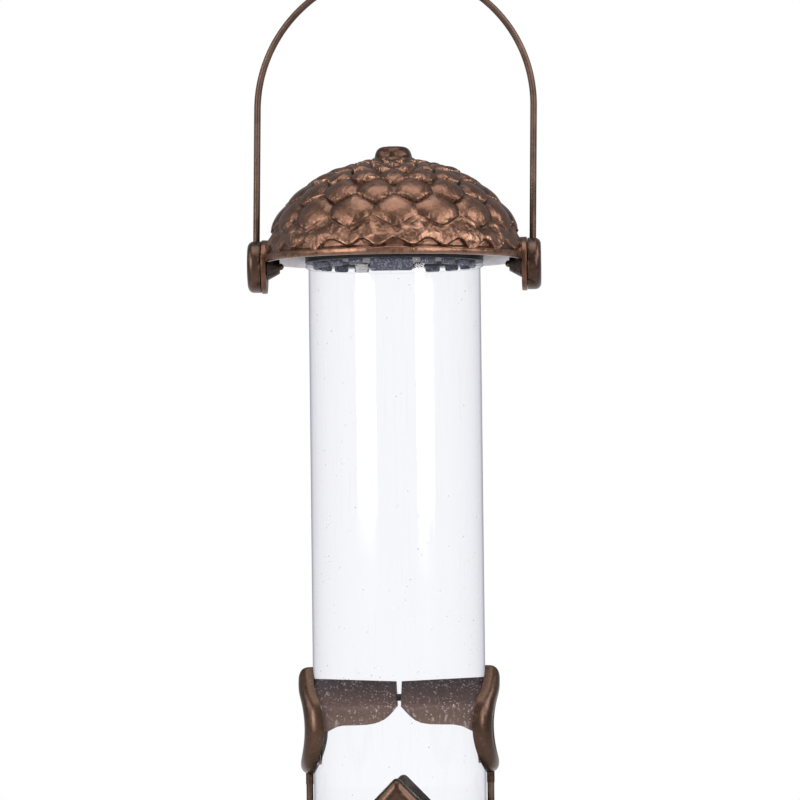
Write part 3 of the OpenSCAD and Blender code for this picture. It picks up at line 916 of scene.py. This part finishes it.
def paint_hood(mesh):
    """Faces inside the tube get the hood paint, with its dust and its painted light and shade."""
    for p in mesh.polygons:
        c = p.center
        p.material_index = 1 if hypot(c.x, c.y) < BORE_R - 0.2 * MM else 0


# ---------------------------------------------------------------- tube

def build_tube():
    """Clear tube with a beaded top edge, cut for the ports and the base screws."""
    low, high = TUBE_LOW.z, TUBE_HIGH.z
    bead_mid = high - BEAD_H / 2
    bead = [(TUBE_R + (BEAD_R - TUBE_R) * cos(a), bead_mid + BEAD_H / 2 * sin(a))
            for a in map(radians, range(-80, 81, 16))]
    wall_top = high - BEAD_H
    # Rings close under the bead keep its curved normals out of the wall's reflections
    levels = [low + 0.3 * MM, *np.linspace(low + 2 * MM, wall_top - 0.6 * MM, 30),
              wall_top - 0.2 * MM]
    outer = [(TUBE_R, z) for z in levels]
    inner = [(BORE_R, z) for z in reversed(levels)]
    profile = ([(BORE_R + 0.3 * MM, low), (TUBE_R - 0.3 * MM, low)] + outer + bead
               + [(TUBE_R - 0.2 * MM, high), (BORE_R + 0.3 * MM, high), (BORE_R, high - 0.3 * MM)]
               + inner)
    verts, faces = lathe(profile, 240, closed=True)
    middle = (BORE_R + TUBE_R) / 2
    slots = [1 if max(hypot(*verts[i][:2]) for i in f) < middle else 0 for f in faces]
    obj = mesh_object("clear_tube", verts, faces, [MATERIALS["clear"], MATERIALS["bore"]], slots)
    reach = TUBE_R + 4 * MM
    opening = extruded(teardrop(HOOD_R + 0.2 * MM, HOOD_TIP), -reach, reach)
    upper = moved(opening, spot(z=UPPER_PORT_Z))
    lower = moved(opening, spot(z=LOWER_PORT_Z, turn=90))
    boolean(obj, [upper, lower] + [screw_bore(a) for a in SCREW_ANGLES])
    finish_shading(obj, 30)
    place(obj, "feeder", "tube")


def screw_bore(angle):
    return moved(rod(1.55 * MM, 26 * MM, 40 * MM, axis="X"), spot(z=SCREW_Z, turn=angle))


# ---------------------------------------------------------------- bail, buttons and nuts

def build_bail():
    """Round wire from one pin end, up over the arch and down to the other."""
    bend = BAIL_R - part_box("bail_button_right")[0].x
    pin_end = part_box("pivot_nut_right")[0].x - 0.3 * MM     # the CAD pin stands out 1 mm more
    foot = BAIL_R - bend
    half = [(pin_end, PIVOT_Z)] + arc(foot, PIVOT_Z + bend, bend, 270, 360, 8)
    leg_foot, leg_len = PIVOT_Z + bend, ARCH_Z - PIVOT_Z - bend
    legs = [(BAIL_R, leg_foot + leg_len * i / 12) for i in range(1, 13)]
    crown = arc(0, ARCH_Z, BAIL_R, 0, 180, 96)[1:-1]
    right = half + legs
    left = [(-x, z) for x, z in reversed(right)]
    lean = 0.018        # the wire stands a degree over, within the play of its pivots
    path = [(x + lean * max(0, z - PIVOT_Z - bend), z) for x, z in right + crown + left]
    obj = mesh_object("bail_handle", *sweep(path, WIRE_R, 28), [MATERIALS["wire"]])
    place(obj, "bail", "bail_wire")


def build_button(side, name, node):
    """Round cover disc: a soft outer edge, a slightly crowned face and a shallow ring in it."""
    thick = size_of(node).x
    r = BUTTON_R
    edge = 2.3 * MM
    back = [(0, 0), (r - 0.15 * MM, 0), (r, 0.15 * MM), (r, thick - edge)]
    turn = arc(r - edge, thick - edge, edge, 10, 80, 7)
    face = [(r - edge - 0.1 * MM, thick - 0.06 * MM), (0.64 * r, thick - 0.12 * MM),
            (0.60 * r, thick - 0.28 * MM), (0.55 * r, thick - 0.30 * MM),
            (0.51 * r, thick - 0.10 * MM), (0.30 * r, thick - 0.03 * MM), (0, thick)]
    verts, faces = lathe(back + turn + face, 96, axis="X", centre=(BUTTON_LOW.x, 0, PIVOT_Z))
    verts = [Vector((side * v.x, v.y, v.z)) for v in verts]
    obj = mesh_object(name, verts, faces, [MATERIALS["cast"]], sharp_deg=50)
    place(obj, "bail", node)


def build_nut(side, name, node):
    """Push-on nut: a plain cone that narrows towards the tube."""
    low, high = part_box("pivot_nut_right")
    length = high.x - low.x
    big = (high.z - low.z) / 2
    hole = WIRE_R + 0.04 * MM
    outline = [(hole, 0), (big, 0), (0.93 * big, 0.7 * MM), (2.6 * MM, length), (hole, length)]
    profile = rounded(outline, 0.16 * MM)
    verts, faces = lathe(profile, 72, closed=True, axis="X")
    verts = [Vector((side * (high.x - v.x), v.y, v.z + PIVOT_Z)) for v in verts]
    obj = mesh_object(name, verts, faces, [MATERIALS["dark_metal"]], sharp_deg=40)
    place(obj, "bail", node)


# ---------------------------------------------------------------- perches

def build_perch(name, turn, height, node):
    """Wire perch with a ball end, in the same path as its CAD node."""
    r, ball_r = 1.3 * MM, 2 * MM
    bend, run, tip_bend, tip_angle = 5 * MM, 22 * MM, 20 * MM, 25
    perch_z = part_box("perch_upper_right")[0].z + r - UPPER_PORT_Z
    stem_top = -RING_R - SOCKET_LEN - 0.05 * MM
    bend_x = STEM_X + bend
    upturn_x = bend_x + run
    path = [(STEM_X, stem_top), (STEM_X, stem_top - 3 * MM)]
    path += arc(bend_x, perch_z + bend, bend, 180, 270, 10)
    path += [(bend_x + run * i / 4, perch_z) for i in range(1, 4)]
    path += arc(upturn_x, perch_z + tip_bend, tip_bend, 270, 270 + tip_angle, 8)
    end_x, end_z = path[-1]
    ball = lathe([(0, -ball_r)] + arc(0, 0, ball_r, -80, 80, 16) + [(0, ball_r)], 36)
    obj = mesh_object(name, *sweep(path, r, 24), [MATERIALS["wire"]])
    boolean(obj, [moved(ball, spot(end_x, 0, end_z))], "UNION")
    finish_shading(obj, 50)
    obj.data.transform(spot(z=height, turn=turn))
    place(obj, "feeder", node)


# ---------------------------------------------------------------- base

def build_base():
    """Saucer on a foot ring, with a socket for the tube and six drain holes."""
    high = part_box("base_cup")[1]
    lip_r, top = high.y, high.z
    foot_r, foot_in, floor, saucer_h = 31 * MM, 28.4 * MM, 6 * MM, 13 * MM
    socket_out, socket_in = BASE_SOCKET_R, TUBE_R + 0.15 * MM
    drain_r, drain_ring_r = 2 * MM, 18 * MM
    wide, inner = lip_r - foot_r, lip_r - foot_r - 2 * MM
    outer = [(foot_r + wide * sin(a), saucer_h * (1 - cos(a)))
             for a in map(radians, range(6, 91, 6))]
    gutter = degrees(asin((socket_out + 0.6 * MM - foot_r) / inner))
    back = [(foot_r + inner * sin(a), saucer_h - (saucer_h - 2 * MM) * cos(a))
            for a in map(radians, np.linspace(86, gutter, 9))]
    underside = [(0, floor - 2 * MM), (foot_in - 0.3 * MM, floor - 2 * MM),
                 (foot_in, floor - 2.3 * MM), (foot_in, 0.35 * MM), (foot_in + 0.3 * MM, 0),
                 (foot_r, 0)]
    lip = [(lip_r, saucer_h - 0.9 * MM), (lip_r - 0.25 * MM, saucer_h - 0.3 * MM),
           (lip_r - 1 * MM, saucer_h), (lip_r - 1.75 * MM, saucer_h - 0.3 * MM)]
    socket = [(socket_out, back[-1][1] + 0.8 * MM), (socket_out, top - 3.4 * MM),
              (socket_out, top - 0.8 * MM), (socket_out - 0.25 * MM, top - 0.25 * MM),
              (socket_out - 0.8 * MM, top), (socket_in + 0.5 * MM, top),
              (socket_in, top - 0.5 * MM), (socket_in, floor + 0.3 * MM),
              (socket_in - 0.3 * MM, floor), (0, floor)]
    profile = underside + outer[:-1] + lip + back[1:] + socket
    obj = mesh_object("base_saucer", *lathe(profile, 160), [MATERIALS["cast"]], sharp_deg=40)
    drains = []
    for i in range(6):
        a = radians(60 * (i + 0.5))
        centre = spot(drain_ring_r * cos(a), drain_ring_r * sin(a))
        drains.append(moved(rod(drain_r, 0, 9 * MM), centre))
    boolean(obj, drains + [screw_bore(a) for a in SCREW_ANGLES])
    finish_shading(obj, 38)
    place(obj, "feeder", "base_cup")


def build_base_screws():
    """Pan-head screws with a cross recess."""
    seat = BASE_SOCKET_R + 0.05 * MM
    tip = BORE_R - 3 * MM
    shaft_r, head_r = 1.5 * MM, 2.8 * MM
    outline = [(0, tip), (1.1 * MM, tip + 0.1 * MM), (shaft_r, tip + 0.9 * MM), (shaft_r, seat),
               (head_r, seat), (head_r, seat + 0.7 * MM), (2.55 * MM, seat + 1.3 * MM),
               (1.9 * MM, seat + 1.68 * MM), (0, seat + 1.8 * MM)]
    long, short = 1.5 * MM, 0.35 * MM
    parts = []
    for angle in SCREW_ANGLES:
        screw = mesh_object("screw", *lathe(outline, 48, axis="X"), [MATERIALS["steel"]])
        for y, z in ((short, long), (long, short)):
            slot = extruded([(-y, -z), (y, -z), (y, z), (-y, z)], seat + 1 * MM, seat + 3 * MM)
            boolean(screw, [slot])
        parts.append(moved(taken(screw), spot(z=SCREW_Z, turn=angle)))
    obj = mesh_object("base_pan_screws", *joined(*parts), [MATERIALS["steel"]])
    place(obj, "feeder", "base_screws")


# ---------------------------------------------------------------- collar

def build_collar():
    """Ring on the tube, with fingers and a longer front tongue inside it and a web over the top."""
    low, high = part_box("cap_collar")
    out_r = high.x
    ring_z, web_z = TUBE_HIGH.z + 0.05 * MM, high.z - 2 * MM
    finger_out, finger_in = BORE_R - 0.2 * MM, BORE_R - 2.2 * MM
    hub_r, finger_z = 6.05 * MM, ring_z - 2 * MM
    outline = [(hub_r, web_z), (finger_in, web_z), (finger_in, ring_z), (out_r, ring_z),
               (out_r, high.z), (hub_r, high.z)]
    parts = [lathe(rounded(outline, 0.3 * MM), 192, closed=True)]
    fingers = [(270, 30, low.z), (0, 30, finger_z), (180, 30, finger_z)]
    fingers += [(quarter + offset, 10, finger_z) for quarter in (0, 90, 180, 270)
                for offset in (27, 45, 63)]
    for centre, width, tip_z in fingers:
        parts.append(finger(centre, width, finger_in, finger_out, tip_z, ring_z + 1 * MM))
    obj = mesh_object("finger_collar", *joined(*parts), [MATERIALS["collar"]])
    place(obj, "collar", "cap_collar")


def finger(centre, width, r_in, r_out, z0, z1):
    """One finger of the collar, with chamfered lower corners."""
    cut = 0.5 * MM
    steps = 8
    verts = []
    levels = [(z0, cut), (z0 + cut, 0.0), (z1, 0.0)]
    for z, trim in levels:
        half = width / 2 - degrees(trim / r_out)
        angles = np.radians(np.linspace(centre - half, centre + half, steps))
        loop = [(r_out - trim * 0.4, a) for a in angles] + [(r_in, a) for a in reversed(angles)]
        verts += [(r * cos(a), r * sin(a), z) for r, a in loop]
    count = 2 * steps
    faces = grid_faces(len(levels), count)
    faces.append(tuple(range(count)))
    faces.append(tuple(range(2 * count, 3 * count)))
    return verts, faces


# ---------------------------------------------------------------- pieces that stay as CAD nodes

CAD_FINISH = {
    "tie_rivet_upper": "dark_metal",
    "tie_rivet_lower": "dark_metal",
    "seed_deflector": "dark",
    "lock_cam": "dark",
    "cap_washer": "steel",
    "cap_screw": "steel",
}


def dress_cad_nodes():
    """Gives the pieces that keep their CAD shape a material and soft edges."""
    for node, key in CAD_FINISH.items():
        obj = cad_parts[node]
        obj.data.materials.clear()
        obj.data.materials.append(MATERIALS[key])
        bevel = obj.modifiers.new("soft_edges", "BEVEL")
        bevel.width = 0.15 * MM
        bevel.segments = 2
        bevel.limit_method = "ANGLE"
        bevel.angle_limit = radians(40)


# ---------------------------------------------------------------- studio

def build_floor():
    """Pale round floor that fades to white away from the object."""
    steps, rings, reach = 96, 24, 6.0
    verts = [(0, 0, 0)]
    for i in range(1, rings + 1):
        radius = reach * (i / rings) ** 2
        angles = [TAU * j / steps for j in range(steps)]
        verts += [(radius * cos(a), radius * sin(a), 0) for a in angles]
    faces = [(0, 1 + j, 1 + (j + 1) % steps) for j in range(steps)]
    faces += grid_faces(rings, steps, offset=1)
    n = Nodes("pale_floor")
    rough = n.scalar(n.noise(6, 3, 0.5), 0.3, 0.7, 0.55, 0.7)
    board = n.principled((0.86, 0.86, 0.865), rough, 0.0)
    glow = n.node("Emission", 0, {"Color": (1, 1, 1), "Strength": 1.0})
    distance = n.node("VectorMath", "Value", {0: n.coords}, operation="LENGTH")
    fade = n.node("MapRange", "Result", {"Value": distance, "From Min": 0.18, "From Max": 0.62},
                  interpolation_type="SMOOTHSTEP")
    finish = n.done(n.blend(fade, board, glow))
    mesh_object("floor", verts, faces, [finish])


def build_world():
    """White behind the object, and a softer studio round it for light and reflections."""
    n = Nodes("studio", world=True)
    toward = n.node("VectorMath", "Value", {0: n.coords, 1: [0.0, 0.80, 0.60]},
                    operation="DOT_PRODUCT")
    levels = ((0.0, 0.60), (0.30, 0.52), (0.50, 0.46), (0.80, 0.56), (0.90, 0.44), (1.0, 0.36))
    stops = [(at, (level, level, level * 1.02)) for at, level in levels]
    sky = n.ramp(n.scalar(toward, -1, 1, 0, 1), stops)
    studio = n.node("Background", 0, {"Color": sky})
    white = n.node("Background", 0, {"Color": (1, 1, 1)})
    seen = n.add("LightPath").outputs["Is Camera Ray"]
    bpy.context.scene.world = n.done(n.blend(seen, studio, white))


def softbox(name, azimuth, distance, height, width, tall, radiance):
    """A soft rectangular light that faces the object, azimuth degrees round from the front."""
    light = bpy.data.lights.new(name, "AREA")
    light.shape = "RECTANGLE"
    light.size, light.size_y = width, tall
    light.energy = radiance * pi * width * tall
    obj = bpy.data.objects.new(name, light)
    bpy.context.scene.collection.objects.link(obj)
    a = radians(azimuth)
    obj.location = (distance * sin(a), -distance * cos(a), height)
    aim = Vector((0, 0, 0.26 if abs(height) > 1 else height)) - obj.location
    obj.rotation_mode = "QUATERNION"
    obj.rotation_quaternion = aim.to_track_quat("-Z", "Y")


def build_lights():
    """Azimuth, distance, height, width, tall and radiance of each lamp."""
    softbox("key_left", -42, 1.3, 0.69, 0.40, 0.95, 13)
    softbox("key_right", 36, 1.3, 0.69, 0.28, 0.95, 14)
    softbox("fill_right", 72, 1.3, 1.05, 0.80, 0.80, 9)
    softbox("fill_left", -78, 1.3, 1.05, 0.60, 0.80, 4)
    softbox("top", 0, 0.15, 1.35, 0.9, 0.9, 4.2)


def build_camera():
    """Eye a little below the cap, long lens, framed on the tube's upper part."""
    distance = 2.3
    frame_width = 0.2974
    eye_z, target_z = 0.131, 0.2218
    azimuth, roll = radians(2.2), radians(-0.65)
    side_shift = 1.5 * MM
    camera = bpy.data.cameras.new("camera")
    camera.sensor_width = 36
    camera.lens = distance * 36 / frame_width
    camera.clip_start, camera.clip_end = 0.05, 50
    obj = bpy.data.objects.new("camera", camera)
    bpy.context.scene.collection.objects.link(obj)
    right = Vector((cos(azimuth), sin(azimuth), 0))
    back = Vector((sin(azimuth), -cos(azimuth), 0))
    obj.location = back * distance + right * side_shift + Vector((0, 0, eye_z))
    target = right * side_shift + Vector((0, 0, target_z))
    view = (target - obj.location).to_track_quat("-Z", "Y").to_matrix().to_4x4()
    obj.matrix_world = Matrix.Translation(obj.location) @ view @ Matrix.Rotation(roll, 4, "Z")
    bpy.context.scene.camera = obj


def build_feeder():
    build_dome()
    build_tube()
    build_collar()
    stations = (("right", 0, UPPER_PORT_Z, "upper"), ("left", 180, UPPER_PORT_Z, "upper"),
                ("front", 270, LOWER_PORT_Z, "lower"), ("back", 90, LOWER_PORT_Z, "lower"))
    for build, kind in ((build_port, "port"), (build_perch, "perch")):
        for side, turn, height, level in stations:
            build(f"{kind}_{side}", turn, height, f"{kind}_{level}_{side}")
    build_bail()
    for side, word in ((1, "right"), (-1, "left")):
        build_button(side, f"button_{word}", f"bail_button_{word}")
    for side, word in ((1, "right"), (-1, "left")):
        build_nut(side, f"push_nut_{word}", f"pivot_nut_{word}")
    build_base()
    build_base_screws()
    dress_cad_nodes()


build_feeder()
build_floor()
build_world()
build_lights()
build_camera()
bpy.context.scene.view_settings.view_transform = "Standard"
